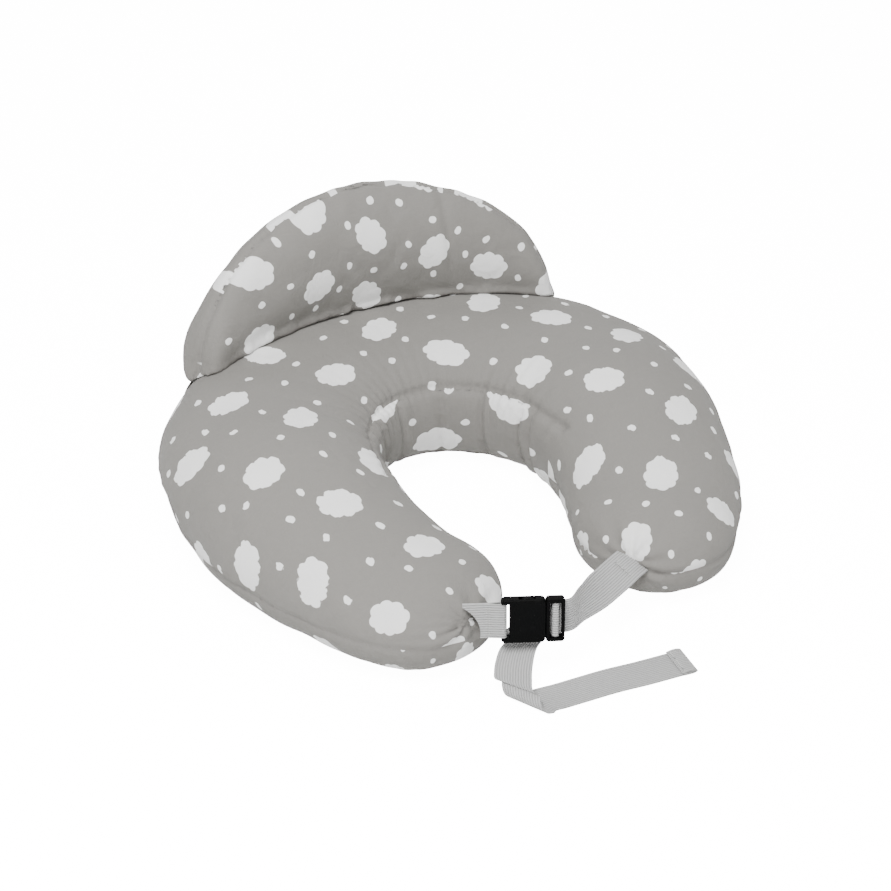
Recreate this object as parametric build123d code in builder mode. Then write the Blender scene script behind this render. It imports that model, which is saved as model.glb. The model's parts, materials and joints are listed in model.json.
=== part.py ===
"""Nursing pillow: a U-shaped cushion with a half-moon guard cushion on its rear rim,
a webbing strap across its tips with a side-release buckle, and zipped covers.

Millimetres, +Z up. The opening of the U faces -Y, the guard stands at +Y, and the origin is
the centre of the whole object's footprint at floor level.
"""

import os
from math import atan2, cos, degrees, radians, sin, sqrt

from build123d import *

os.makedirs("parts", exist_ok=True)

# ---------------------------------------------------------------- driving dimensions
ARC_Y = 17.13  # centre of the U's rear arc, behind the origin

# U cushion
ARC_R = 180.0  # centreline radius of the rear arc
REAR_HALF = 60.0  # half of the rear arc whose section stays the same, degrees
ARC_HALF = 94.0  # half of the whole rear arc, degrees
ARM_R = 330.0  # radius of the arm's inward curve
ARM_L = 165.0  # its length
REAR_W, ARM_W, TIP_W = 115.0, 107.0, 87.0  # half-widths of the section
REAR_H, TIP_H = 140.0, 98.0  # heights of the section
COVER_T = 1.2  # cover fabric
CASE_T = 0.8  # insert case fabric
SEAM_Z = 45.0  # outer seam between the top and the bottom panel
BAND_LOW, BAND_HIGH = 14.0, 98.0  # inner band around the waist opening
BAND_END = 60.0  # length of arm that the band covers

# Guard cushion
GUARD_R = 368.0  # plan radius of its middle surface
GUARD_BACK = 238.0  # middle of that surface, behind the centre of the rear arc
GUARD_A = 209.0  # half-width
GUARD_RISE = 167.0  # height of the crest above its foot
GUARD_FOOT = 109.0
GUARD_T = 52.0  # half-thickness in the middle
GUARD_LEAN = 0.10  # forward lean, as a slope

# Zips
ZIP_COIL_W, ZIP_TAPE_W = 3.4, 10.0
ZIP_GAP = 3.8
PILLOW_ZIP_HALF = 36.0  # half of the zip's arc, degrees
GUARD_ZIP_HALF = 13.0
GUARD_ZIP_Z = 152.0

# Webbing and buckle
WEB_W, WEB_T = 33.0, 1.4
BUCKLE_W, BUCKLE_T = 42.0, 10.0
BUCKLE_AT = (-58.0, -266.0, 62.0)  # its middle, from the centre of the rear arc
BUCKLE_RUN = (0.916, -0.401)  # the way the strap runs through it, in plan
BUCKLE_TILT = 9.0  # its face looks up by this much, degrees


# ---------------------------------------------------------------- places
def at(x, y, z=0.0):
    """A point given from the centre of the rear arc."""
    return Vector(x, y + ARC_Y, z)


def upright(x, y):
    return Axis(at(x, y), (0, 0, 1))


def arm_place(s):
    """Right half of the centreline, s from the end of the constant rear arc: x, y, heading."""
    turn = s / ARC_R + radians(REAR_HALF)
    end = radians(ARC_HALF)
    if turn <= end:
        return ARC_R * sin(turn), ARC_R * cos(turn), turn
    turn = end + (s - ARC_R * (end - radians(REAR_HALF))) / ARM_R
    x = (ARC_R - ARM_R) * sin(end) + ARM_R * sin(turn)
    y = (ARC_R - ARM_R) * cos(end) + ARM_R * cos(turn)
    return x, y, turn


TURN_L = ARC_R * radians(ARC_HALF - REAR_HALF)
ARM_END = TURN_L + ARM_L
TIP_X, TIP_Y, TIP_TURN = arm_place(ARM_END)


def arm_size(s):
    """Half-width and height of the section there."""
    if s <= TURN_L:
        return REAR_W + (ARM_W - REAR_W) * s / TURN_L, REAR_H
    k = (s - TURN_L) / ARM_L
    return ARM_W + (TIP_W - ARM_W) * k, REAR_H + (TIP_H - REAR_H) * k ** 1.3


def arm_plane(s):
    """Upright plane across the arm: x outwards, y up, z along the arm."""
    x, y, turn = arm_place(s)
    return Plane(at(x, y), x_dir=(sin(turn), cos(turn), 0), z_dir=(cos(turn), -sin(turn), 0))


# ---------------------------------------------------------------- U cushion
def cushion_section(w, h, inset, x=0.0, half=False):
    """A resting cushion's section about x: flat underside, round sides, crowned top."""
    mid, low, top, w = 0.46 * h, inset, h - inset, w - inset
    flat = 0.5 * w
    for way in (1,) if half else (1, -1):
        Bezier((x + way * flat, low), (x + way * 0.8 * w, low),
               (x + way * w, mid - 0.6 * (mid - low)), (x + way * w, mid))
        Bezier((x + way * w, mid), (x + way * w, mid + 0.6 * (top - mid)), (x + way * 0.62 * w, top), (x, top))
    if half:
        Line((x, top), (x, low))
        Line((x, low), (x + flat, low))
    else:
        Line((x - flat, low), (x + flat, low))


def cushion_body(inset):
    """The whole U, with its surface moved inwards by inset."""
    with BuildPart() as body:
        with BuildSketch(Plane(at(0, ARC_R), x_dir=(0, 1, 0), z_dir=(1, 0, 0))):
            with BuildLine():
                cushion_section(REAR_W, REAR_H, inset)
            make_face()
        revolve(axis=upright(0, 0), revolution_arc=-REAR_HALF)
        for s in (0, TURN_L / 2, TURN_L, TURN_L + ARM_L / 3, TURN_L + 2 * ARM_L / 3, ARM_END):
            with BuildSketch(arm_plane(s)):
                with BuildLine():
                    cushion_section(*arm_size(s), inset)
                make_face()
        loft()
        with BuildSketch(arm_plane(ARM_END)):
            with BuildLine():
                cushion_section(TIP_W, TIP_H, inset, half=True)
            make_face()
        revolve(axis=upright(TIP_X, TIP_Y), revolution_arc=-180)
        mirror(about=Plane.YZ)
    return body.part


def slab(low, high):
    """Everything between two heights."""
    with BuildPart() as block:
        with BuildSketch(Plane.XY.offset(low)):
            Rectangle(900, 900)
        extrude(amount=high - low)
    return block.part


def sector(inner, outer, low, high, half_angle, centre_y=0.0):
    """An upright block of a ring, half_angle degrees each side of the rear."""
    with BuildPart() as block:
        with BuildSketch(Plane(at(0, centre_y), x_dir=(0, 1, 0), z_dir=(1, 0, 0))):
            with Locations(((inner + outer) / 2, (low + high) / 2)):
                Rectangle(outer - inner, high - low)
        revolve(axis=upright(0, centre_y), revolution_arc=half_angle)
        mirror(about=Plane.YZ)
    return block.part


cover_outside = cushion_body(0)
case_outside = cushion_body(COVER_T)
case_inside = cushion_body(COVER_T + CASE_T)

# plan of the inner wall: inside the centreline, as far along the arms as the band goes
band_x, band_y, band_turn = arm_place(TURN_L + BAND_END)
with BuildPart() as band_zone:
    with BuildSketch(Plane.XY.offset(BAND_LOW)):
        with BuildLine():
            rear_end = arm_place(TURN_L)
            middle = arm_place(TURN_L + BAND_END / 2)
            ThreePointArc(at(-rear_end[0], rear_end[1]), at(0, ARC_R), at(rear_end[0], rear_end[1]))
            for side in (1, -1):
                ThreePointArc(
                    at(side * rear_end[0], rear_end[1]),
                    at(side * middle[0], middle[1]),
                    at(side * band_x, band_y),
                )
                inward = at(side * (band_x - 130 * sin(band_turn)), band_y - 130 * cos(band_turn))
                Line(at(side * band_x, band_y), inward)
                Line(inward, at(0, band_y - 130 * cos(band_turn)))
        make_face()
    extrude(amount=BAND_HIGH - BAND_LOW)

zip_zone = sector(270, 300, SEAM_Z - ZIP_TAPE_W - 1, SEAM_Z + ZIP_TAPE_W + 1, PILLOW_ZIP_HALF)
zip_gap = sector(270, 300, SEAM_Z - ZIP_GAP / 2, SEAM_Z + ZIP_GAP / 2, PILLOW_ZIP_HALF)

with BuildPart() as pillow_top_panel:
    add(cover_outside)
    add(case_outside, mode=Mode.SUBTRACT)
    add(slab(SEAM_Z, 200), mode=Mode.INTERSECT)
    add(band_zone.part, mode=Mode.SUBTRACT)
    add(zip_zone, mode=Mode.SUBTRACT)
pillow_top_panel.part.label = "pillow_top_panel"

with BuildPart() as pillow_bottom_panel:
    add(cover_outside)
    add(case_outside, mode=Mode.SUBTRACT)
    add(slab(-5, SEAM_Z), mode=Mode.INTERSECT)
    add(band_zone.part, mode=Mode.SUBTRACT)
    add(zip_zone, mode=Mode.SUBTRACT)
pillow_bottom_panel.part.label = "pillow_bottom_panel"

with BuildPart() as pillow_inner_band:
    add(cover_outside)
    add(case_outside, mode=Mode.SUBTRACT)
    add(band_zone.part, mode=Mode.INTERSECT)
pillow_inner_band.part.label = "pillow_inner_band"

with BuildPart() as pillow_insert_case:
    add(case_outside)
    add(case_inside, mode=Mode.SUBTRACT)
pillow_insert_case.part.label = "pillow_insert_case"

with BuildPart() as pillow_filling:
    add(case_inside)
pillow_filling.part.label = "pillow_filling"

with BuildPart() as pillow_zip_tapes:
    add(cover_outside)
    add(case_outside, mode=Mode.SUBTRACT)
    add(zip_zone, mode=Mode.INTERSECT)
    add(zip_gap, mode=Mode.SUBTRACT)
pillow_zip_tapes.part.label = "pillow_zip_tapes"


# ---------------------------------------------------------------- guard cushion
GUARD_CY = GUARD_BACK - GUARD_R


def guard_size(turn):
    """Crest height above the foot and half-thickness, at a turn from the rear, radians."""
    out = min(abs(GUARD_R * sin(turn)) / GUARD_A, 1.0)
    full = sqrt(1 - out * out)
    return 14 + (GUARD_RISE - 14) * full ** 0.95, 11 + (GUARD_T - 11) * min(full * 1.03, 1) ** 0.8


def guard_section(turn, inset):
    """Lens-shaped section across the guard, leaning a little forward."""
    rise, half = guard_size(turn)
    rise, half, low = rise - 2 * inset, half - inset, GUARD_FOOT + inset
    slip = -GUARD_LEAN * inset
    crest = (-GUARD_LEAN * rise + slip, low + rise)
    for way in (1, -1):
        belly = (-GUARD_LEAN * rise / 2 + slip + way * half, low + rise / 2)
        Bezier(
            (slip, low), (slip + way * 0.62 * half, low), (belly[0], belly[1] - 0.3 * rise), belly,
            (belly[0], belly[1] + 0.3 * rise), (crest[0] + way * 0.5 * half, crest[1]), crest,
        )


GUARD_HALF = degrees(atan2(GUARD_A, sqrt(GUARD_R ** 2 - GUARD_A ** 2)))


def guard_body(inset, stand_off):
    """The half-moon with its surface moved inwards by inset, cut to stand on the U's crown."""
    with BuildPart() as body:
        for k in range(-4, 5):
            turn = radians(GUARD_HALF) * k / 4
            across = Plane(
                at(GUARD_R * sin(turn), GUARD_CY + GUARD_R * cos(turn)),
                x_dir=(sin(turn), cos(turn), 0),
                z_dir=(cos(turn), -sin(turn), 0),
            )
            with BuildSketch(across):
                with BuildLine():
                    guard_section(turn, inset)
                make_face()
        loft()
        with BuildSketch(Plane(at(0, 0), x_dir=(0, 1, 0), z_dir=(1, 0, 0))):
            with BuildLine():
                cushion_section(REAR_W, REAR_H, -stand_off, ARC_R)
            make_face()
        revolve(axis=upright(0, 0), revolution_arc=66, mode=Mode.SUBTRACT)
        with BuildSketch(Plane(at(0, 0), x_dir=(0, 1, 0), z_dir=(1, 0, 0))):
            with BuildLine():
                cushion_section(REAR_W, REAR_H, -stand_off, ARC_R)
            make_face()
        revolve(axis=upright(0, 0), revolution_arc=-66, mode=Mode.SUBTRACT)
    return body.part


STAND_OFF = 2.0  # from the U's cover to the guard's cover
guard_outside = guard_body(0, STAND_OFF)
guard_inside = guard_body(COVER_T, STAND_OFF + COVER_T)
guard_case_inside = guard_body(COVER_T + CASE_T, STAND_OFF + COVER_T + CASE_T + 0.75)

# everything in front of the crest seam's cone
CREST_SEAM_R = GUARD_R - 2.0
with BuildPart() as guard_front_zone:
    with BuildSketch(Plane(at(0, GUARD_CY), x_dir=(0, 1, 0), z_dir=(1, 0, 0))):
        with BuildLine():
            Polyline(
                (CREST_SEAM_R + GUARD_LEAN * (GUARD_FOOT - 60), 60),
                (CREST_SEAM_R - GUARD_LEAN * (320 - GUARD_FOOT), 320),
                (GUARD_R - 120, 320), (GUARD_R - 120, 60), close=True,
            )
        make_face()
    revolve(axis=upright(0, GUARD_CY), revolution_arc=45)
    mirror(about=Plane.YZ)

guard_zip_zone = sector(
    GUARD_R + 20, GUARD_R + 80, GUARD_ZIP_Z - ZIP_TAPE_W - 1, GUARD_ZIP_Z + ZIP_TAPE_W + 1,
    GUARD_ZIP_HALF, GUARD_CY,
)
guard_zip_gap = sector(
    GUARD_R + 20, GUARD_R + 80, GUARD_ZIP_Z - ZIP_GAP / 2, GUARD_ZIP_Z + ZIP_GAP / 2,
    GUARD_ZIP_HALF, GUARD_CY,
)

with BuildPart() as guard_front_panel:
    add(guard_outside)
    add(guard_inside, mode=Mode.SUBTRACT)
    add(guard_front_zone.part, mode=Mode.INTERSECT)
guard_front_panel.part.label = "guard_front_panel"

with BuildPart() as guard_back_panel:
    add(guard_outside)
    add(guard_inside, mode=Mode.SUBTRACT)
    add(guard_front_zone.part, mode=Mode.SUBTRACT)
    add(guard_zip_zone, mode=Mode.SUBTRACT)
guard_back_panel.part.label = "guard_back_panel"

with BuildPart() as guard_zip_tapes:
    add(guard_outside)
    add(guard_inside, mode=Mode.SUBTRACT)
    add(guard_zip_zone, mode=Mode.INTERSECT)
    add(guard_zip_gap, mode=Mode.SUBTRACT)
guard_zip_tapes.part.label = "guard_zip_tapes"

with BuildPart() as guard_insert_case:
    add(guard_inside)
    add(guard_case_inside, mode=Mode.SUBTRACT)
guard_insert_case.part.label = "guard_insert_case"

with BuildPart() as guard_filling:
    add(guard_case_inside)
guard_filling.part.label = "guard_filling"


def rear_shell(inner, outer, half_angle):
    """A skin that follows the outside of the U's rear, between two stand-offs."""
    with BuildPart() as shell:
        for off, mode in ((outer, Mode.ADD), (inner, Mode.SUBTRACT)):
            with BuildSketch(Plane(at(0, 0), x_dir=(0, 1, 0), z_dir=(1, 0, 0))):
                with BuildLine():
                    cushion_section(REAR_W, REAR_H, -off, ARC_R)
                make_face()
            revolve(axis=upright(0, 0), revolution_arc=half_angle, mode=mode)
        mirror(about=Plane.YZ)
    return shell.part


# the cloth strip that joins the guard's foot to the U's rear rim
with BuildPart() as guard_join_strip:
    add(rear_shell(0.3, 1.4, 46))
    add(sector(200, 300, 84, 122, 46), mode=Mode.INTERSECT)
guard_join_strip.part.label = "guard_join_strip"


# ---------------------------------------------------------------- zips
def ring_bar(radius, z, size_r, size_z, start, end, centre_y, corner=0.4):
    """A bar along an arc about an upright axis, from start to end, degrees from the rear."""
    turn = radians(start)
    across = Plane(at(0, centre_y), x_dir=(sin(turn), cos(turn), 0), z_dir=(cos(turn), -sin(turn), 0))
    with BuildPart() as bar:
        with BuildSketch(across):
            with Locations((radius, z)):
                RectangleRounded(size_r, size_z, corner)
        revolve(axis=upright(0, centre_y), revolution_arc=start - end)
    return bar.part


def zip_set(name, radius, z, half, centre_y, slider_at):
    """Coil, end stops, slider and pull of one zip that lies along an arc."""
    with BuildPart() as coil:
        add(ring_bar(radius, z, 2.2, ZIP_COIL_W, -half + 0.3, half - 0.3, centre_y))
    coil.part.label = f"{name}_zip_coil"

    stop = degrees(3.0 / radius)
    with BuildPart() as stops:
        for place in (-half + 0.6, half - 0.6 - stop):
            add(ring_bar(radius + 1.95, z, 1.2, 5.0, place, place + stop, centre_y))
    stops.part.label = f"{name}_zip_stops"

    face = radius + 1.1  # outer face of the coil
    turn = radians(slider_at)
    seat = Plane(
        at(face * sin(turn), centre_y + face * cos(turn), z),
        x_dir=(cos(turn), -sin(turn), 0),
        z_dir=(sin(turn), cos(turn), 0),
    )
    with BuildPart() as slider:
        with BuildSketch(seat.offset(0.4)):
            RectangleRounded(12.0, 8.6, 2.0)
        extrude(amount=1.5)
        with BuildSketch(seat.offset(-0.2)):
            with GridLocations(0, 7.4, 1, 2):
                Rectangle(10.0, 1.2)
        extrude(amount=0.8)
        with BuildSketch(seat.offset(1.9)):
            with GridLocations(7.0, 0, 2, 1):
                Rectangle(1.6, 3.0)
        extrude(amount=2.6)
        with BuildSketch(seat.offset(4.5)):
            RectangleRounded(8.6, 3.0, 0.6)
        extrude(amount=1.1)
    slider.part.label = f"{name}_zip_slider"

    # the pull is a flat tab with an eye around the slider's bridge, lying along the zip
    tab = seat.offset(2.5)
    with BuildPart() as pull:
        with BuildSketch(tab):
            with Locations((13.0, 0)):
                SlotOverall(24.0, 7.0)
            with Locations((5.4, 0)):
                Rectangle(9.0, 6.0)
            with Locations((3.85, 0)):
                Rectangle(4.1, 4.0, mode=Mode.SUBTRACT)
            with Locations((19.0, 0)):
                SlotOverall(8.0, 2.6, mode=Mode.SUBTRACT)
        extrude(amount=1.4)
    pull.part.label = f"{name}_zip_pull"
    return coil, stops, slider, pull


PILLOW_SLIDER_AT, GUARD_SLIDER_AT = -33.0, 11.0
pillow_zip_r = ARC_R + REAR_W - 1.9
guard_zip_r = GUARD_R + 45.5
pillow_zip_coil, pillow_zip_stops, pillow_zip_slider, pillow_zip_pull = zip_set(
    "pillow", pillow_zip_r, SEAM_Z, PILLOW_ZIP_HALF, 0.0, PILLOW_SLIDER_AT
)
guard_zip_coil, guard_zip_stops, guard_zip_slider, guard_zip_pull = zip_set(
    "guard", guard_zip_r, GUARD_ZIP_Z, GUARD_ZIP_HALF, GUARD_CY, GUARD_SLIDER_AT
)

# ---------------------------------------------------------------- buckle
tilt = radians(BUCKLE_TILT)
run = Vector(BUCKLE_RUN[0], BUCKLE_RUN[1], 0).normalized()
face_way = Vector(run.Y * cos(tilt), -run.X * cos(tilt), sin(tilt))
buckle = Plane(at(*BUCKLE_AT), x_dir=run, z_dir=face_way)  # x along the strap, y up, z outwards
outwards = Axis(buckle.origin, buckle.z_dir)
cross = Plane(buckle.origin, x_dir=buckle.x_dir, z_dir=-buckle.y_dir)  # x along, y outwards

SOCKET_X0, SOCKET_X1 = -28.4, 10.5
TONGUE_X0, TONGUE_X1 = 10.8, 27.4
BAR_X = -26.4  # fixed bar of the socket
LOCK_X = 19.4  # middle bar of the ladder lock
PRONG_Y = 12.5  # root of each prong
HALF_T, WALL = BUCKLE_T / 2, 2.0

with BuildPart() as buckle_socket:
    with BuildSketch(buckle.offset(-HALF_T)):
        with Locations(((SOCKET_X0 + SOCKET_X1) / 2, 0)):
            RectangleRounded(SOCKET_X1 - SOCKET_X0, BUCKLE_W, 4.0)
    extrude(amount=BUCKLE_T)
    fillet(buckle_socket.faces().sort_by(outwards)[-1].edges(), 1.6)
    fillet(buckle_socket.faces().sort_by(outwards)[0].edges(), 1.6)
    # mouth for the tongue
    with BuildSketch(buckle.offset(-HALF_T + WALL)):
        with Locations(((-15.0 + SOCKET_X1 + 1) / 2, 0)):
            Rectangle(SOCKET_X1 + 1 + 15.0, BUCKLE_W - 6.0)
    extrude(amount=BUCKLE_T - 2 * WALL, mode=Mode.SUBTRACT)
    # side windows where the prongs' heads catch
    with BuildSketch(buckle.offset(-HALF_T + WALL)):
        with Locations((-5.7, 0)):
            Rectangle(15.0, BUCKLE_W + 2)
    extrude(amount=BUCKLE_T - 2 * WALL, mode=Mode.SUBTRACT)
    # slot behind the fixed bar, and the bar thinned to take the loop
    with BuildSketch(buckle.offset(-HALF_T)):
        with Locations((-22.85, 0), (-28.9, 0)):
            Rectangle(4.1, WEB_W + 1.2)
    extrude(amount=BUCKLE_T, mode=Mode.SUBTRACT)
    for low in (-HALF_T, 1.4):
        with BuildSketch(buckle.offset(low)):
            with Locations((-26.9, 0)):
                Rectangle(6.0, WEB_W + 1.2)
        extrude(amount=HALF_T - 1.4, mode=Mode.SUBTRACT)
buckle_socket.part.label = "buckle_socket"

with BuildPart() as buckle_tongue:
    with BuildSketch(buckle.offset(-HALF_T + 0.5)):
        with Locations(((TONGUE_X0 + TONGUE_X1) / 2, 0)):
            RectangleRounded(TONGUE_X1 - TONGUE_X0, BUCKLE_W, 3.0)
    extrude(amount=BUCKLE_T - 1)
    fillet(buckle_tongue.faces().sort_by(outwards)[-1].edges(), 1.2)
    fillet(buckle_tongue.faces().sort_by(outwards)[0].edges(), 1.2)
    # the ladder lock's window, with its two slots on each side of the middle bar
    with BuildSketch(buckle.offset(-HALF_T)):
        with Locations((LOCK_X, 0)):
            Rectangle(10.4, WEB_W + 1.2)
    extrude(amount=BUCKLE_T, mode=Mode.SUBTRACT)
    with BuildSketch(buckle.offset(-1.8)):
        with Locations((LOCK_X, 0)):
            Rectangle(2.5, WEB_W + 3)
    extrude(amount=3.0)
    # the end bar is cut back underneath, where the strap comes in
    with BuildSketch(buckle.offset(-HALF_T)):
        with Locations((TONGUE_X1 - 1.0, 0)):
            Rectangle(5.0, WEB_W + 1.2)
        with Locations((12.3, 0)):
            Rectangle(5.4, WEB_W + 1.2)
    extrude(amount=3.2, mode=Mode.SUBTRACT)
    # middle guide tongue
    with BuildSketch(buckle.offset(-2.2)):
        with BuildLine():
            Polyline((11.5, -4.3), (-10.6, -3.5), (-13.2, -1.8), (-13.2, 1.8), (-10.6, 3.5), (11.5, 4.3), close=True)
        make_face()
    extrude(amount=4.4)
buckle_tongue.part.label = "buckle_tongue"


def prong(way):
    """One springy side prong with the rounded head that shows in the window."""
    with BuildPart() as arm:
        with BuildSketch(buckle.offset(-2.4)):
            with BuildLine():
                edge = Polyline(
                    (10.4, way * 10.8), (-12.3, way * 13.4), (-12.9, way * 16.3), (-10.6, way * 19.4)
                )
                head = Spline(
                    edge @ 1, (-6.2, way * 21.1), (0.2, way * 20.1), tangents=((1, way * 0.6), (1, -way * 0.4))
                )
                Polyline(head @ 1, (0.5, way * 15.9), (10.4, way * 14.6), edge @ 0)
            make_face()
        extrude(amount=4.8)
    return arm


buckle_prong_upper = prong(1)
buckle_prong_upper.part.label = "buckle_prong_upper"
buckle_prong_lower = prong(-1)
buckle_prong_lower.part.label = "buckle_prong_lower"

# ---------------------------------------------------------------- webbing
near_pillow = cushion_body(-0.3)

# fixed strap: sewn to the left tip, looped round the socket's bar and sewn back on itself
with BuildPart() as fixed_webbing:
    with BuildSketch(cross):
        with BuildLine():
            reach = 3.3
            Polyline((BAR_X, reach), (-34.0, 2.3), (-41.0, WEB_T), (-62.0, WEB_T), (-62.0, -WEB_T),
                     (-41.0, -WEB_T), (-34.0, -2.3), (BAR_X, -reach))
            ThreePointArc((BAR_X, -reach), (BAR_X + reach, 0), (BAR_X, reach))
        make_face()
        with BuildLine():
            inner = reach - 1.2
            Polyline((BAR_X, inner), (-34.0, 1.0), (-38.0, 0.05), (-38.0, -0.05), (-34.0, -1.0),
                     (BAR_X, -inner))
            ThreePointArc((BAR_X, -inner), (BAR_X + inner, 0), (BAR_X, inner))
        make_face(mode=Mode.SUBTRACT)
    extrude(amount=WEB_W / 2, both=True)
    add(near_pillow, mode=Mode.SUBTRACT)
fixed_webbing.part.label = "fixed_webbing"

with BuildPart() as fixed_webbing_stitching:
    for place, rise in ((-41.3, 0.05), (-38.4, 0.5)):
        for level in (WEB_T + rise, -WEB_T - rise - 0.4):
            with BuildSketch(buckle.offset(level)):
                with Locations((place, 0)):
                    Rectangle(0.7, WEB_W - 6)
            extrude(amount=0.4)
    add(near_pillow, mode=Mode.SUBTRACT)
fixed_webbing_stitching.part.label = "fixed_webbing_stitching"

# adjustable strap: from the right tip, twisting, through the ladder lock, down to the floor
anchor = Vector(at(TIP_X - 0.75 * TIP_W, TIP_Y - 0.66 * TIP_W, 55.0))
anchor_edge = Vector(-25.0, 28.0, 14.0).normalized()
lock_in = buckle.from_local_coords((TONGUE_X1 + 2.0, 0, -4.6))
toward = (lock_in - anchor).normalized()


def strap_end(point, along, edge):
    """Plane across the strap: x along its width, z along its run."""
    return Plane(point, x_dir=(edge - along * edge.dot(along)).normalized(), z_dir=along)


with BuildPart() as adjustable_webbing:
    middle_edge = (anchor_edge + buckle.y_dir).normalized()
    for share, edge in ((0.0, anchor_edge), (0.5, middle_edge), (1.0, buckle.y_dir)):
        with BuildSketch(strap_end(anchor + (lock_in - anchor) * share, toward, edge)):
            Rectangle(WEB_W, WEB_T)
    loft()
    add(cushion_body(-0.3), mode=Mode.SUBTRACT)
    with BuildSketch(cross):
        with BuildLine():
            FilletPolyline(
                (TONGUE_X1 + 2.2, -4.9), (25.3, -4.3), (22.8, -3.2), (21.9, 2.3), (16.9, 2.3), (16.0, -3.4),
                (13.2, -4.8), (10.4, -6.5), (-20.5, -6.5), radius=0.8,
            )
        trace(line_width=1.2)
    extrude(amount=WEB_W / 2, both=True)
    # hanging stretch behind the buckle
    with BuildSketch(buckle.offset(-7.1)):
        with Locations((-4.2, -17.0)):
            Rectangle(WEB_W, 18.0)
    extrude(amount=1.2)
    hang_top = buckle.from_local_coords((-4.2, -25.4, -6.5))
    hang_foot = at(-77.0, -292.0, 2.2)
    down = (hang_foot - hang_top).normalized()
    for point in (hang_top, hang_foot):
        with BuildSketch(strap_end(point, down, run)):
            Rectangle(WEB_W, WEB_T)
    loft()
    # lying stretch on the floor, to the hem
    lie_start, lie_end = at(-92.0, -298.0, 0.2), at(62.0, -311.5, 0.2)
    lie_way = (lie_end - lie_start).normalized()
    with BuildSketch(Plane((lie_start + lie_end) / 2, x_dir=lie_way, z_dir=(0, 0, 1))):
        Rectangle((lie_end - lie_start).length, WEB_W)
    extrude(amount=WEB_T)
adjustable_webbing.part.label = "adjustable_webbing"

hem_place = Plane(lie_end + lie_way * 7.6, x_dir=lie_way, z_dir=(0, 0, 1))
with BuildPart() as webbing_hem:
    with BuildSketch(hem_place):
        Rectangle(15.0, WEB_W)
    extrude(amount=3.6)
    fillet(webbing_hem.edges().filter_by(Axis((0, 0, 0), (-lie_way.Y, lie_way.X, 0))), 1.0)
webbing_hem.part.label = "webbing_hem"

with BuildPart() as webbing_hem_stitching:
    with BuildSketch(hem_place.offset(3.65)):
        with Locations((-4.5, 0)):
            Rectangle(0.8, WEB_W - 3)
    extrude(amount=0.4)
webbing_hem_stitching.part.label = "webbing_hem_stitching"

# row of stitches that holds the adjustable strap in the right tip's seam
sewn = strap_end(anchor + toward * 9.0, toward, (anchor_edge * 0.93 + buckle.y_dir * 0.07).normalized())
with BuildPart() as adjustable_webbing_stitching:
    for way in (1, -1):
        with BuildSketch(sewn):
            with Locations((0, way * (WEB_T / 2 + 0.9))):
                Rectangle(WEB_W - 14, 0.4)
        extrude(amount=0.8)
adjustable_webbing_stitching.part.label = "adjustable_webbing_stitching"

# ---------------------------------------------------------------- care label
label_turn = radians(62.0)
label_plane = Plane(
    at(294.6 * sin(label_turn), 294.6 * cos(label_turn), SEAM_Z),
    x_dir=(cos(label_turn), -sin(label_turn), 0),
    z_dir=(sin(label_turn), cos(label_turn), 0),
)
with BuildPart() as care_label:
    with BuildSketch(label_plane):
        with Locations((0, -15.0)):
            Rectangle(26.0, 32.0)
    extrude(amount=0.5)
    add(near_pillow, mode=Mode.SUBTRACT)
care_label.part.label = "care_label"

# ---------------------------------------------------------------- write the pieces
pieces = [
    pillow_top_panel, pillow_bottom_panel, pillow_inner_band, pillow_insert_case, pillow_filling,
    pillow_zip_tapes, pillow_zip_coil, pillow_zip_stops, pillow_zip_slider, pillow_zip_pull,
    guard_front_panel, guard_back_panel, guard_insert_case, guard_filling, guard_join_strip,
    guard_zip_tapes, guard_zip_coil, guard_zip_stops, guard_zip_slider, guard_zip_pull,
    buckle_socket, buckle_tongue, buckle_prong_upper, buckle_prong_lower,
    fixed_webbing, fixed_webbing_stitching, adjustable_webbing, adjustable_webbing_stitching,
    webbing_hem, webbing_hem_stitching, care_label,
]
low, high = Vector(1e9, 1e9, 1e9), Vector(-1e9, -1e9, -1e9)
for piece in pieces:
    export_step(piece.part, f"parts/{piece.part.label}.step")
    box = piece.part.bounding_box()
    low = Vector(*(min(a, b) for a, b in zip(low, box.min)))
    high = Vector(*(max(a, b) for a, b in zip(high, box.max)))
print("box", [round(v, 2) for v in low], [round(v, 2) for v in high])
print("buckle axis", [round(v, 5) for v in buckle.x_dir], "up", [round(v, 5) for v in buckle.y_dir])
print("buckle out", [round(v, 5) for v in buckle.z_dir])
for way in (1, -1):
    print("prong root", [round(v, 3) for v in buckle.from_local_coords((10.7, way * PRONG_Y, 0))])
for piece in (fixed_webbing, fixed_webbing_stitching, adjustable_webbing_stitching, care_label):
    print(piece.part.label, round(piece.part.volume, 1), len(piece.part.solids()))
for cy, r, a in ((0.0, pillow_zip_r, PILLOW_SLIDER_AT), (GUARD_CY, guard_zip_r, GUARD_SLIDER_AT)):
    t = radians(a)
    out, along = r + 4.3, 1.35
    print("pull pivot", [round(v, 3) for v in at(out * sin(t) + along * cos(t), cy + out * cos(t) - along * sin(t))])
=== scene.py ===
"""Nursing pillow with a guard cushion and a buckled waist strap, dressed over its CAD frame."""
import json
from math import cos, pi, radians, sin

import bpy
import numpy as np
from mathutils import Matrix, Vector
from mathutils.noise import noise

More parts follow.
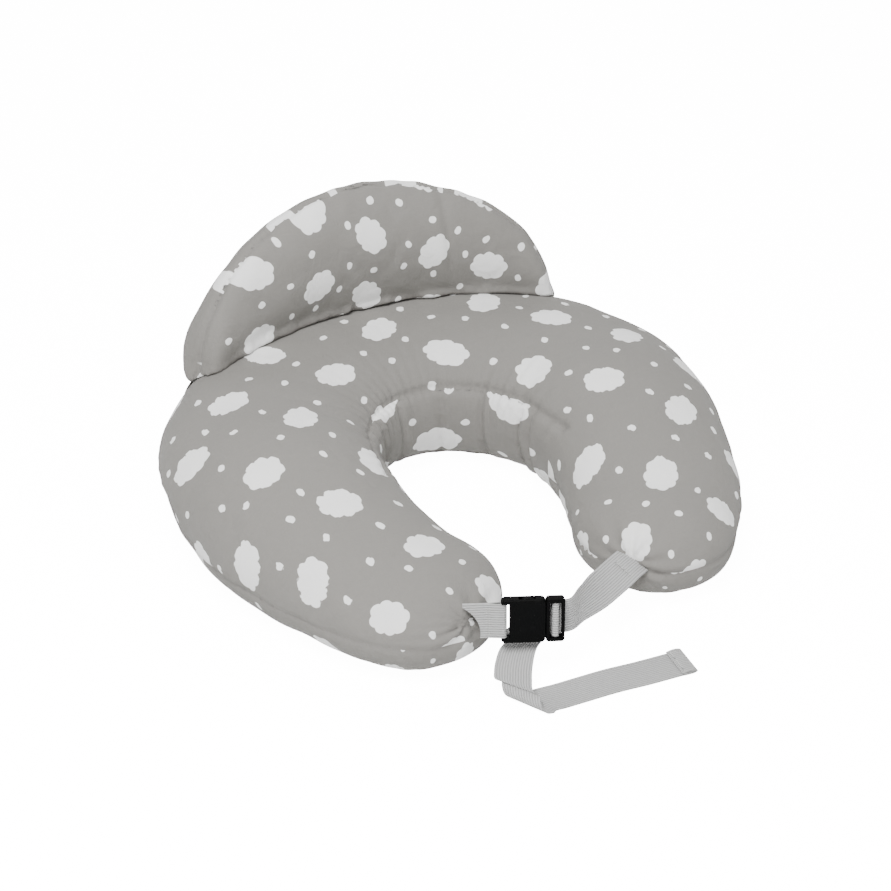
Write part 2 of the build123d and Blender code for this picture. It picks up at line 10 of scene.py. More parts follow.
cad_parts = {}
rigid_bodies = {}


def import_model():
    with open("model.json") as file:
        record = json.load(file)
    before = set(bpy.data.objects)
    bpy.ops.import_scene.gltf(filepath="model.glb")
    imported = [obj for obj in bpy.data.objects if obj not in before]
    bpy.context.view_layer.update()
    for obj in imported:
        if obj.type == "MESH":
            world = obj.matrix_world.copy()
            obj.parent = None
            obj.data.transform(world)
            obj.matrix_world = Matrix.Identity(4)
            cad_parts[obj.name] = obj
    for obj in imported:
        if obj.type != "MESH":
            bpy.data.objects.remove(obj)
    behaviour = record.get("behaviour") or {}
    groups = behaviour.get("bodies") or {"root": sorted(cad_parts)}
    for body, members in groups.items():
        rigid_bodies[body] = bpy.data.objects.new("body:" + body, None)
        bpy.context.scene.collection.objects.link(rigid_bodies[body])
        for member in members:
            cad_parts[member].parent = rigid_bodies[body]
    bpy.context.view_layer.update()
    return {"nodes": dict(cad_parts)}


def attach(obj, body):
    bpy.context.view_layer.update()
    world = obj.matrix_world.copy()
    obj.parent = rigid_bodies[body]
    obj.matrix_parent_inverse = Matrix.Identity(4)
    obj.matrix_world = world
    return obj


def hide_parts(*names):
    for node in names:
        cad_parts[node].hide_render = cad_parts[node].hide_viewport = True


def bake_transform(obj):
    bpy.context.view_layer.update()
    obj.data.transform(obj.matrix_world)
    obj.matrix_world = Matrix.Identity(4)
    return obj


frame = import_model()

MM = 0.001

# ------------------------------------------------------------------ the frame's own measures
ARC = Vector((0.0, 0.01713, 0.0))  # centre of the U's rear arc
ARC_R, ARC_HALF = 0.180, radians(94)
ARM_R, ARM_L = 0.330, 0.165
REAR_W, ARM_W, TIP_W = 0.115, 0.107, 0.087
REAR_H, TIP_H = 0.140, 0.098
SEAM_Z, BAND_LOW, BAND_HIGH = 0.045, 0.014, 0.098
BAND_END = ARC_R * ARC_HALF + 0.060  # where the inner band stops, along the centreline
GUARD_R, GUARD_C = 0.368, ARC + Vector((0, -0.130, 0))
GUARD_FOOT, GUARD_LEAN = 0.109, 0.10
WEB_W, WEB_T = 0.033, 0.0012
CREST_SEAM_R = GUARD_R - 0.002  # the guard's crest seam, from its own centre, at the height of its foot
GUARD_ZIP_R, GUARD_ZIP_Z = GUARD_R + 0.0455, 0.152
THREADS_PER_METRE, RIBS_PER_METRE = 2300.0, 430.0
BAND_EASE = 0.36  # the band's own length against the centreline's, round the waist
SNAP_REACH = 0.0016  # how near a seam a point is brought onto it

# the buckle's own directions: along the strap, up its face, and out of its face
BUCKLE_RUN = Vector((0.916, -0.401, 0)).normalized()
BUCKLE_OUT = Vector((BUCKLE_RUN.y * cos(radians(9)), -BUCKLE_RUN.x * cos(radians(9)), sin(radians(9))))
BUCKLE_UP = BUCKLE_OUT.cross(BUCKLE_RUN)
BUCKLE_AT = ARC + Vector((-0.058, -0.266, 0.062))


def from_arc(x, y, z=0.0):
    """A point given in millimetres from the centre of the U's rear arc."""
    return ARC + Vector((x, y, z)) * MM


def on_buckle(x, y, z):
    """A point given in millimetres along, up and out of the buckle."""
    return BUCKLE_AT + (BUCKLE_RUN * x + BUCKLE_UP * y + BUCKLE_OUT * z) * MM


def pick_only(*objects):
    """Deselect everything, then select these and make the first one active."""
    for o in bpy.context.view_layer.objects:
        o.select_set(False)
    for o in objects:
        o.select_set(True)
    bpy.context.view_layer.objects.active = objects[0]


def coords(o):
    co = np.empty(len(o.data.vertices) * 3)
    o.data.vertices.foreach_get("co", co)
    return co.reshape(-1, 3)


def set_coords(o, co):
    o.data.vertices.foreach_set("co", np.ascontiguousarray(co, np.float32).ravel())
    o.data.update()


def normals(o):
    no = np.empty(len(o.data.vertices) * 3)
    o.data.vertices.foreach_get("normal", no)
    return no.reshape(-1, 3)


def finish_modifier(o, kind, **settings):
    """Add one modifier and apply it."""
    pick_only(o)
    m = o.modifiers.new(kind.title(), kind)
    for key, value in settings.items():
        setattr(m, key, value)
    bpy.ops.object.modifier_apply(modifier=m.name)


# ------------------------------------------------------------------ where a point lies on the U
def centreline(step=0.002):
    """Points, outward directions and lengths along the U's centreline, left tip to right tip."""
    places = []
    half = ARC_R * ARC_HALF
    for s in np.arange(0, half + ARM_L + step / 2, step):
        if s <= half:
            turn = s / ARC_R
            x, y = ARC_R * sin(turn), ARC_R * cos(turn)
        else:
            turn = ARC_HALF + (s - half) / ARM_R
            x = (ARC_R - ARM_R) * sin(ARC_HALF) + ARM_R * sin(turn)
            y = (ARC_R - ARM_R) * cos(ARC_HALF) + ARM_R * cos(turn)
        places.append((x, y, sin(turn), cos(turn), s))
    right = np.array(places)
    left = right[:0:-1] * np.array([-1, 1, -1, 1, -1])
    return np.vstack([left, right])


LINE = centreline()
LINE_END = LINE[-1, 4]


def section_size(s):
    """Half-width and height of the U where the centreline has length s."""
    s = np.abs(s)
    flat, turn, half = ARC_R * radians(60), ARC_R * ARC_HALF, ARC_R * ARC_HALF
    w = np.interp(s, [0, flat, turn, half + ARM_L], [REAR_W, REAR_W, ARM_W, TIP_W])
    k = np.clip((s - half) / ARM_L, 0, 1)
    return w, REAR_H + (TIP_H - REAR_H) * k ** 1.3


def on_u(points):
    """For each point: the nearest centreline place with its length along the centreline, the offset across
    it, and the tip overrun along it.
    """
    flat = points[:, :2] - np.array([ARC.x, ARC.y])
    best = np.empty(len(flat), int)
    for at in range(0, len(flat), 4000):
        gap = flat[at:at + 4000, None, :] - LINE[None, :, :2]
        best[at:at + 4000] = (gap ** 2).sum(2).argmin(1)
    hit = LINE[best]
    out = flat - hit[:, :2]
    across = (out * hit[:, 2:4]).sum(1)
    along = out[:, 0] * hit[:, 3] * np.sign(hit[:, 4]) - out[:, 1] * hit[:, 2] * np.sign(hit[:, 4])
    return hit, across, along


def on_waist_side(points):
    """True where a point faces the waist, between the inner band's two ends."""
    hit, across, _ = on_u(points)
    return (across < 0) & (np.abs(hit[:, 4]) < BAND_END)


def section_table():
    """Length round the section from the crown, against the angle from the crown."""
    w, h = REAR_W, REAR_H
    mid, angle = 0.46 * h, np.linspace(0, pi, 400)
    power = 2.4
    size = (np.abs(np.sin(angle)) ** power + np.abs(np.cos(angle)) ** power) ** (-1 / power)
    x = w * size * np.sin(angle)
    z = np.where(angle < pi / 2, (h - mid), mid) * size * np.cos(angle)
    length = np.r_[0, np.cumsum(np.hypot(np.diff(x), np.diff(z)))]
    return angle, length


ANGLE, AROUND = section_table()


def flat_on_u(points):
    """Where each point of the U's cloth lay on the flat cloth, before it was sewn."""
    hit, across, along = on_u(points)
    w, h = section_size(hit[:, 4])
    mid = 0.46 * h
    high = points[:, 2] - mid
    reach = np.where(high > 0, h - mid, mid)
    over = np.abs(hit[:, 4]) >= LINE_END - 1e-6
    r = np.where(over, np.hypot(across, along), np.abs(across))
    angle = np.arctan2(r / w, high / reach)
    length = np.interp(angle, ANGLE, AROUND) * (w / REAR_W)
    way = np.where(over[:, None], np.c_[
        across * hit[:, 2] + along * hit[:, 3] * np.sign(hit[:, 4]),
        across * hit[:, 3] - along * hit[:, 2] * np.sign(hit[:, 4])] / np.maximum(r, 1e-6)[:, None],
        hit[:, 2:4] * np.sign(across)[:, None])
    return hit[:, :2] + way * length[:, None], hit[:, 4], across


# ------------------------------------------------------------------ camera, light and floor
def set_camera():
    az, el, away = radians(-26.7), radians(31.9), 1.8
    back = Vector((sin(az) * cos(el), -cos(az) * cos(el), sin(el)))
    right = Vector((cos(az), sin(az), 0))
    up = back.cross(right)
    target = Vector((0, 0.02365, 0.060))
    view = Matrix((right, up, back)).transposed().to_4x4()
    view.translation = target + back * away
    data = bpy.data.cameras.new("camera")
    data.sensor_width, data.lens = 36, 36 * 1800 / 891
    data.shift_x, data.shift_y = -0.0077, 0.0136
    camera = bpy.data.objects.new("camera", data)
    camera.matrix_world = view
    bpy.context.scene.collection.objects.link(camera)
    bpy.context.scene.camera = camera


def soft_lamp(name, place, aim, size, power):
    data = bpy.data.lights.new(name, "AREA")
    data.shape, data.size, data.energy = "DISK", size, power
    lamp = bpy.data.objects.new(name, data)
    lamp.location = place
    lamp.rotation_euler = (Vector(aim) - Vector(place)).to_track_quat("-Z", "Y").to_euler()
    bpy.context.scene.collection.objects.link(lamp)


def set_stage():
    set_camera()
    soft_lamp("key_lamp", (-0.8, -0.9, 2.0), (0, 0, 0.08), 1.0, 96)
    soft_lamp("fill_lamp", (1.6, -1.2, 1.5), (0, 0, 0.1), 1.8, 10)
    soft_lamp("rear_lamp", (0.5, 1.9, 1.7), (0, 0, 0.1), 1.6, 24)
    world = bpy.data.worlds.new("room")
    world.use_nodes = True
    world.node_tree.nodes["Background"].inputs["Color"].default_value = (1, 1, 1, 1)
    world.node_tree.nodes["Background"].inputs["Strength"].default_value = 0.55
    bpy.context.scene.world = world
    bpy.ops.mesh.primitive_plane_add(size=14, location=(0, 0, -0.0003))
    floor = bpy.context.object
    floor.name = "studio_floor"
    paint = bpy.data.materials.new("studio_white")
    paint.use_nodes = True
    shade = paint.node_tree.nodes["Principled BSDF"]
    shade.inputs["Base Color"].default_value = (0.93, 0.93, 0.93, 1)
    shade.inputs["Emission Color"].default_value = (1, 1, 1, 1)
    # the floor glows for the camera only, so it stays white without lighting the cloth from below
    seen = add_node(paint.node_tree, "ShaderNodeLightPath").outputs["Is Camera Ray"]
    glow = maths(paint.node_tree, "MULTIPLY", seen, 14.0)
    paint.node_tree.links.new(glow, shade.inputs["Emission Strength"])
    shade.inputs["Roughness"].default_value = 0.9
    shade.inputs["Specular IOR Level"].default_value = 0.1
    floor.data.materials.append(paint)


# ------------------------------------------------------------------ node helpers
def group_tree(name, takes, gives):
    """A shader node group with named sockets: takes and gives are (name, socket, default)."""
    tree = bpy.data.node_groups.new(name, "ShaderNodeTree")
    for title, kind, value in takes:
        socket = tree.interface.new_socket(name=title, in_out="INPUT", socket_type=kind)
        if value is not None:
            socket.default_value = value
    for title, kind in gives:
        tree.interface.new_socket(name=title, in_out="OUTPUT", socket_type=kind)
    return tree, tree.nodes.new("NodeGroupInput").outputs, tree.nodes.new("NodeGroupOutput").inputs


def add_node(tree, kind, inputs=(), **settings):
    """One node with its settings; inputs is {socket: value or another node's output}."""
    n = tree.nodes.new(kind)
    for key, value in settings.items():
        setattr(n, key, value)
    for key, value in dict(inputs).items():
        if isinstance(value, bpy.types.NodeSocket):
            tree.links.new(value, n.inputs[key])
        else:
            n.inputs[key].default_value = value
    return n


def maths(tree, operation, a, b=None, c=None, clamp=False):
    inputs = {0: a}
    if b is not None:
        inputs[1] = b
    if c is not None:
        inputs[2] = c
    return add_node(tree, "ShaderNodeMath", inputs, operation=operation, use_clamp=clamp).outputs[0]


def vector_maths(tree, operation, a, b=None, out=0):
    inputs = {0: a}
    if b is not None:
        inputs[1] = b
    return add_node(tree, "ShaderNodeVectorMath", inputs, operation=operation).outputs[out]


def stretched(tree, vector, times):
    """A vector made longer or shorter."""
    return add_node(tree, "ShaderNodeVectorMath", {0: vector, 3: times}, operation="SCALE").outputs[0]


def smooth_step(tree, value, low, high):
    return add_node(
        tree, "ShaderNodeMapRange", {"Value": value, "From Min": low, "From Max": high},
        interpolation_type="SMOOTHSTEP",
    ).outputs["Result"]


set_stage()


# ------------------------------------------------------------------ cloth print and weave

def blotches(tree, place, scale, detail):
    """Soft random spots, from 0 to 1."""
    noise_node = add_node(tree, "ShaderNodeTexNoise", {"Vector": place, "Scale": scale, "Detail": detail})
    return noise_node.outputs["Fac"]


def waves(tree, value, times):
    """Round-topped ridges: the size of a sine."""
    return maths(tree, "ABSOLUTE", maths(tree, "SINE", maths(tree, "MULTIPLY", value, times)))


def blob_mask(tree, place, lobes, soft):
    """White where place falls on any of the lobes: (x, y, radius) in metres."""
    nearest = None
    for x, y, r in lobes:
        gap = vector_maths(tree, "DISTANCE", place, (x, y, 0), out=1)
        gap = maths(tree, "SUBTRACT", gap, r)
        nearest = gap if nearest is None else maths(tree, "SMOOTH_MIN", nearest, gap, 0.0012)
    return maths(tree, "SUBTRACT", 1.0, smooth_step(tree, nearest, -soft, soft))


CLOUD = ((-0.0005, -0.0009, 0.0124), (0.0115, -0.0046, 0.0090), (0.0152, 0.0041, 0.0072),
         (0.0064, 0.0087, 0.0085), (-0.0046, 0.0097, 0.0079), (-0.0138, 0.0046, 0.0079),
         (-0.0156, -0.0041, 0.0066), (-0.0069, -0.0078, 0.0085), (0.0032, -0.0097, 0.0074))
DROP = ((0.0010, 0.0, 0.0036), (-0.0011, 0.0004, 0.0034))


def cloud_print():
    """The printed cloth's white mask: one cloud and three drops in each slanted repeat."""
    tree, takes, gives = group_tree(
        "cloud_print",
        [("Cloth", "NodeSocketVector", None), ("Row", "NodeSocketVector", None),
         ("Column", "NodeSocketVector", None), ("Row share", "NodeSocketVector", None),
         ("Column share", "NodeSocketVector", None)],
        [("White", "NodeSocketFloat")],
    )
    wobble = add_node(tree, "ShaderNodeTexNoise", {"Vector": takes["Cloth"], "Scale": 130.0, "Detail": 1.0})
    shake = vector_maths(tree, "SUBTRACT", wobble.outputs["Color"], (0.5, 0.5, 0.5))
    shake = vector_maths(tree, "MULTIPLY", shake, (0.0016, 0.0016, 0.0))
    cloth = vector_maths(tree, "ADD", takes["Cloth"], shake)
    rows = vector_maths(tree, "DOT_PRODUCT", cloth, takes["Row share"], out=1)
    columns = vector_maths(tree, "DOT_PRODUCT", cloth, takes["Column share"], out=1)

    def printed(row, column, lobes, stray, lean, seed):
        """The lobes at one place of every repeat, each a little astray and turned."""
        r, c = maths(tree, "SUBTRACT", rows, row), maths(tree, "SUBTRACT", columns, column)
        r_at, c_at = maths(tree, "ROUND", r), maths(tree, "ROUND", c)
        down = stretched(tree, takes["Row"], maths(tree, "SUBTRACT", r, r_at))
        over = stretched(tree, takes["Column"], maths(tree, "SUBTRACT", c, c_at))
        which = add_node(tree, "ShaderNodeCombineXYZ", {0: r_at, 1: c_at, 2: seed}).outputs[0]
        chance = add_node(tree, "ShaderNodeTexWhiteNoise", {"Vector": which}, noise_dimensions="3D").outputs
        astray = vector_maths(tree, "SUBTRACT", chance["Color"], (0.5, 0.5, 0.5))
        astray = vector_maths(tree, "MULTIPLY", astray, (stray, stray, 0.0))
        place = vector_maths(tree, "ADD", vector_maths(tree, "ADD", down, over), astray)
        angle = maths(tree, "MULTIPLY", maths(tree, "SUBTRACT", chance["Value"], 0.5), lean)
        turned = add_node(tree, "ShaderNodeVectorRotate", {"Vector": place, "Angle": angle},
                          rotation_type="Z_AXIS").outputs[0]
        return blob_mask(tree, vector_maths(tree, "MULTIPLY", turned, (1, 1, 0)), lobes, 0.0004)

    white = printed(0.0, 0.0, CLOUD, 0.008, radians(110), 1.0)
    for row, column, seed in ((0.5, 0.0, 2.0), (0.0, 0.5, 3.0), (0.5, 0.5, 4.0)):
        white = maths(tree, "MAXIMUM", white, printed(row, column, DROP, 0.016, radians(300), seed))
    tree.links.new(white, gives["White"])
    return tree


def plain_weave():
    """Fine over-and-under threads with slubs: a height, and a colour tone of random slubs with painted shade
    where the threads dip, from cloth coordinates.
    """
    tree, takes, gives = group_tree(
        "plain_weave",
        [("Cloth", "NodeSocketVector", None), ("Threads per metre", "NodeSocketFloat", 2400.0)],
        [("Height", "NodeSocketFloat"), ("Shade", "NodeSocketFloat"), ("Slub", "NodeSocketFloat")],
    )
    parts = add_node(tree, "ShaderNodeSeparateXYZ", {0: takes["Cloth"]}).outputs
    u = maths(tree, "MULTIPLY", parts[0], takes["Threads per metre"])
    v = maths(tree, "MULTIPLY", parts[1], takes["Threads per metre"])
    warp, weft = waves(tree, u, pi), waves(tree, v, pi)
    check = add_node(tree, "ShaderNodeTexChecker", {
        "Vector": add_node(tree, "ShaderNodeCombineXYZ", {0: u, 1: v}).outputs[0],
        "Color1": (1, 1, 1, 1), "Color2": (0, 0, 0, 1), "Scale": 1.0}).outputs["Fac"]
    height = maths(tree, "ADD", maths(tree, "MULTIPLY", warp, check),
                   maths(tree, "MULTIPLY", weft, maths(tree, "SUBTRACT", 1.0, check)))
    tree.links.new(height, gives["Height"])
    wide = add_node(tree, "ShaderNodeMapping", {"Vector": takes["Cloth"], "Scale": (60.0, 1100.0, 1.0)})
    slub = add_node(tree, "ShaderNodeTexNoise", {"Vector": wide.outputs[0], "Scale": 1.0, "Detail": 2.0})
    tall = add_node(tree, "ShaderNodeMapping", {"Vector": takes["Cloth"], "Scale": (900.0, 70.0, 1.0)})
    cross = add_node(tree, "ShaderNodeTexNoise", {"Vector": tall.outputs[0], "Scale": 1.0, "Detail": 2.0})
    both = maths(tree, "ADD", maths(tree, "MULTIPLY", slub.outputs["Fac"], 0.65),
                 maths(tree, "MULTIPLY", cross.outputs["Fac"], 0.35))
    tree.links.new(both, gives["Slub"])
    # colour tone: random slubs, plus painted shade that darkens the threads where they dip under each other
    shade = maths(tree, "ADD", maths(tree, "MULTIPLY", height, 0.25), maths(tree, "MULTIPLY", both, 0.75))
    tree.links.new(shade, gives["Shade"])
    return tree


CLOUD_PRINT, PLAIN_WEAVE = cloud_print(), plain_weave()


def new_finish(name, color, roughness, **sockets):
    """A material with a Principled shader set up plainly; gives the material, tree and shader."""
    material = bpy.data.materials.new(name)
    material.use_nodes = True
    tree = material.node_tree
    shader = tree.nodes["Principled BSDF"]
    shader.inputs["Base Color"].default_value = (*color, 1)
    shader.inputs["Roughness"].default_value = roughness
    for key, value in sockets.items():
        shader.inputs[key.replace("_", " ")].default_value = value
    return material, tree, shader


def tone(tree, low, high, amount):
    """A colour between two, by a mask."""
    return add_node(tree, "ShaderNodeMix", {
        0: amount, 6: (*low, 1) if not isinstance(low, bpy.types.NodeSocket) else low,
        7: (*high, 1) if not isinstance(high, bpy.types.NodeSocket) else high}, data_type="RGBA").outputs[2]


def printed_cotton(name, row, column, origin):
    """Grey cotton with the cloud print; the repeat's two sides and a cloud's place in millimetres."""
    material, tree, shader = new_finish(name, (0.19, 0.183, 0.17), 0.86, Specular_IOR_Level=0.2,
                                        Sheen_Weight=0.08, Sheen_Roughness=0.5)
    cloth = add_node(tree, "ShaderNodeUVMap", uv_map="cloth").outputs[0]
    laid = vector_maths(tree, "SUBTRACT", cloth, (origin[0] * MM, origin[1] * MM, 0))
    (rx, ry), (cx, cy) = row, column
    area = (rx * cy - ry * cx) * MM
    white = add_node(tree, "ShaderNodeGroup", {
        "Cloth": laid, "Row": (rx * MM, ry * MM, 0), "Column": (cx * MM, cy * MM, 0),
        "Row share": (cy / area, -cx / area, 0), "Column share": (-ry / area, rx / area, 0),
    }, node_tree=CLOUD_PRINT)
    weave = add_node(tree, "ShaderNodeGroup", {0: laid, 1: THREADS_PER_METRE}, node_tree=PLAIN_WEAVE)
    broad = blotches(tree, cloth, 9.0, 3.0)
    # the grey and the printed white both follow the weave's tone: random slubs with painted shade where the
    # threads dip
    grey = tone(tree, (0.158, 0.152, 0.141), (0.222, 0.214, 0.199), weave.outputs["Shade"])
    grey = tone(tree, grey, (0.178, 0.171, 0.160), maths(tree, "MULTIPLY", broad, 0.5))
    paper = tone(tree, (0.70, 0.70, 0.69), (0.84, 0.84, 0.83), weave.outputs["Shade"])
    color = tone(tree, grey, paper, white.outputs["White"])
    tree.links.new(color, shader.inputs["Base Color"])
    height = maths(tree, "ADD", maths(tree, "MULTIPLY", weave.outputs["Height"], 0.6),
                   maths(tree, "MULTIPLY", weave.outputs["Slub"], 1.1))
    bump = add_node(tree, "ShaderNodeBump", {"Height": height, "Strength": 0.35, "Distance": 0.0004})
    crumple = add_node(tree, "ShaderNodeTexNoise", {"Vector": cloth, "Scale": 38.0, "Detail": 4.0,
                                                   "Roughness": 0.55, "Distortion": 0.6}).outputs["Fac"]
    soft = add_node(tree, "ShaderNodeBump", {"Height": crumple, "Strength": 0.30, "Distance": 0.006,
                                             "Normal": bump.outputs[0]})
    tree.links.new(soft.outputs[0], shader.inputs["Normal"])
    rough = maths(tree, "ADD", 0.80, maths(tree, "MULTIPLY", weave.outputs["Slub"], 0.12))
    tree.links.new(rough, shader.inputs["Roughness"])
    return material


# ------------------------------------------------------------------ stuffed covers
def closed_copy(node, name):
    """A CAD node's shape as one closed mesh of its own."""
    made = bpy.data.objects.new(name, frame["nodes"][node].data.copy())
    bpy.context.scene.collection.objects.link(made)
    pick_only(made)
    bpy.ops.object.mode_set(mode="EDIT")
    bpy.ops.mesh.select_all(action="SELECT")
    bpy.ops.mesh.remove_doubles(threshold=0.00002)
    bpy.ops.object.mode_set(mode="OBJECT")
    made.data.materials.clear()
    return made


def remesh(o, size):
    o.data.remesh_voxel_size = size
    o.data.remesh_voxel_adaptivity = 0
    pick_only(o)
    bpy.ops.object.voxel_remesh()


def stuff(o, held, shrink, cap, frames=20, pressure=4.0):
    """Blow a cover up like a stuffed cushion.

    Each point has a share of pinning (held), a start below its place (shrink) and a furthest move (cap).
    """
    target = coords(o)
    set_coords(o, target - normals(o) * shrink[:, None])
    seams = o.vertex_groups.new(name="seams")
    for k in np.nonzero(held > 0.01)[0]:
        seams.add([int(k)], float(held[k]), "REPLACE")
    cloth = o.modifiers.new("Cloth", "CLOTH")
    settings = cloth.settings
    settings.quality, settings.mass = 5, 0.25
    settings.tension_stiffness, settings.compression_stiffness = 22, 8
    settings.shear_stiffness, settings.bending_stiffness = 6, 0.6
    settings.use_pressure, settings.uniform_pressure_force = True, pressure
    settings.effector_weights.gravity = 0
    settings.vertex_group_mass = "seams"
    settings.pin_stiffness = 1.0
    cloth.collision_settings.use_collision = False
    cloth.collision_settings.use_self_collision = False
    cloth.point_cache.frame_start, cloth.point_cache.frame_end = 1, frames
    for step in range(1, frames + 1):
        bpy.context.scene.frame_set(step)
    pick_only(o)
    bpy.ops.object.modifier_apply(modifier=cloth.name)
    bpy.context.scene.frame_set(1)
    now = coords(o)
    move = now - target
    size = np.linalg.norm(move, axis=1)
    print(o.name, "stuffed: moved mm", np.round(np.percentile(size, [5, 50, 95, 100]) * 1000, 1))
    set_coords(o, target + move * np.minimum(1, cap / np.maximum(size, 1e-9))[:, None])


def smooth(o, factor, repeat):
    finish_modifier(o, "SMOOTH", factor=factor, iterations=repeat)


# ------------------------------------------------------------------ other finishes
def ribbed_web():
    """Webbing: cords along its run with crossing threads, from (along, across) in metres."""
    tree, takes, gives = group_tree(
        "ribbed_web",
        [("Cloth", "NodeSocketVector", None), ("Ribs per metre", "NodeSocketFloat", RIBS_PER_METRE)],
        [("Height", "NodeSocketFloat"), ("Shade", "NodeSocketFloat")],
    )
    parts = add_node(tree, "ShaderNodeSeparateXYZ", {0: takes["Cloth"]}).outputs
    across = maths(tree, "MULTIPLY", parts[1], takes["Ribs per metre"])
    rib = waves(tree, across, pi)
    along = maths(tree, "MULTIPLY", parts[0], 1400.0)
    offset = maths(tree, "MULTIPLY", maths(tree, "FLOOR", across), 0.5)
    pick = waves(tree, maths(tree, "ADD", along, offset), pi)
    height = maths(tree, "MULTIPLY", rib, maths(tree, "ADD", 0.7, maths(tree, "MULTIPLY", pick, 0.3)))
    tree.links.new(height, gives["Height"])
    fibre = add_node(tree, "ShaderNodeMapping", {"Vector": takes["Cloth"], "Scale": (240.0, 2400.0, 1.0)})
    fluff = add_node(tree, "ShaderNodeTexNoise", {"Vector": fibre.outputs[0], "Scale": 1.0, "Detail": 3.0})
    # colour tone: painted shade, darker in the grooves between the ribs, mixed with random fibre tone
    shade = maths(tree, "ADD", maths(tree, "MULTIPLY", height, 0.55),
                  maths(tree, "MULTIPLY", fluff.outputs["Fac"], 0.45))
    tree.links.new(shade, gives["Shade"])
    return tree


RIBBED_WEB = ribbed_web()


def object_axes(tree, *axes):
    """Object coordinates measured along these directions, as a vector."""
    place = add_node(tree, "ShaderNodeTexCoord").outputs["Object"]
    parts = {k: vector_maths(tree, "DOT_PRODUCT", place, tuple(axis), out=1) for k, axis in enumerate(axes)}
    return add_node(tree, "ShaderNodeCombineXYZ", parts).outputs[0]


def webbing(name, axes=None):
    """Light grey ribbed polyester webbing with painted shade in the grooves between its ribs, from the
    piece's UV map or along the axes given.
    """
    material, tree, shader = new_finish(name, (0.42, 0.42, 0.42), 0.62, Specular_IOR_Level=0.35,
                                        Sheen_Weight=0.15, Sheen_Roughness=0.4)
    if axes:
        cloth = object_axes(tree, *axes)
    else:
        cloth = add_node(tree, "ShaderNodeUVMap", uv_map="cloth").outputs[0]
    web = add_node(tree, "ShaderNodeGroup", {0: cloth, 1: RIBS_PER_METRE}, node_tree=RIBBED_WEB)
    cloudy = blotches(tree, cloth, 45.0, 3.0)
    # painted shade: far darker in the rib grooves and lighter on the rib tops, with random fibre tone
    grey = tone(tree, (0.150, 0.150, 0.148), (0.520, 0.520, 0.515), web.outputs["Shade"])
    grey = tone(tree, grey, (0.400, 0.400, 0.398), maths(tree, "MULTIPLY", cloudy, 0.25))
    tree.links.new(grey, shader.inputs["Base Color"])
    bump = add_node(tree, "ShaderNodeBump", {
        "Height": web.outputs["Height"], "Strength": 0.9, "Distance": 0.0007})
    tree.links.new(bump.outputs[0], shader.inputs["Normal"])
    rough = maths(tree, "ADD", 0.52, maths(tree, "MULTIPLY", web.outputs["Shade"], 0.22))
    tree.links.new(rough, shader.inputs["Roughness"])
    return material


def moulded_plastic():
    """Black acetal with a fine eroded skin and faint scuffs."""
    material, tree, shader = new_finish("black_plastic", (0.0012, 0.0012, 0.0013), 0.5,
                                        Specular_IOR_Level=0.05)
    place = add_node(tree, "ShaderNodeTexCoord").outputs["Object"]
    skin = blotches(tree, place, 2600.0, 3.0)
    broad = blotches(tree, place, 90.0, 4.0)
    scuff = smooth_step(tree, broad, 0.60, 0.72)
    worn = maths(tree, "MULTIPLY", scuff, 0.7)
    color = tone(tree, (0.0010, 0.0010, 0.0011), (0.0025, 0.0025, 0.0027), worn)
    tree.links.new(color, shader.inputs["Base Color"])
    rough = maths(tree, "ADD", 0.42, maths(tree, "MULTIPLY", broad, 0.2))
    tree.links.new(rough, shader.inputs["Roughness"])
    bump = add_node(tree, "ShaderNodeBump", {"Height": skin, "Strength": 0.30, "Distance": 0.0001})
    tree.links.new(bump.outputs[0], shader.inputs["Normal"])
    return material


def spun_thread():
    """Sewing thread: short stitches with painted shade in the gaps between them, lying across the strap."""
    material, tree, shader = new_finish("thread", (0.45, 0.45, 0.44), 0.7, Specular_IOR_Level=0.3)
    cloth = object_axes(tree, BUCKLE_RUN, BUCKLE_UP)
    parts = add_node(tree, "ShaderNodeSeparateXYZ", {0: cloth}).outputs
    stitch = waves(tree, parts[1], pi * 420)
    twist = blotches(tree, cloth, 4200.0, 2.0)
    fibre = maths(tree, "ADD", 0.6, maths(tree, "MULTIPLY", twist, 0.5))
    # painted shade: darker in the gaps where the thread sinks between stitches
    lit = maths(tree, "MULTIPLY", smooth_step(tree, stitch, 0.12, 0.5), fibre)
    tree.links.new(tone(tree, (0.16, 0.16, 0.155), (0.50, 0.50, 0.49), lit), shader.inputs["Base Color"])
    bump = add_node(tree, "ShaderNodeBump", {"Height": stitch, "Strength": 0.6, "Distance": 0.0004})
    tree.links.new(bump.outputs[0], shader.inputs["Normal"])
    return material


def round_the_arc(tree, centre):
    """Angle round an upright axis, and height, from object coordinates."""
    place = add_node(tree, "ShaderNodeTexCoord").outputs["Object"]
    rel = vector_maths(tree, "SUBTRACT", place, tuple(centre))
    rel = add_node(tree, "ShaderNodeSeparateXYZ", {0: rel}).outputs
    return maths(tree, "ARCTAN2", rel[0], rel[1]), rel[2]


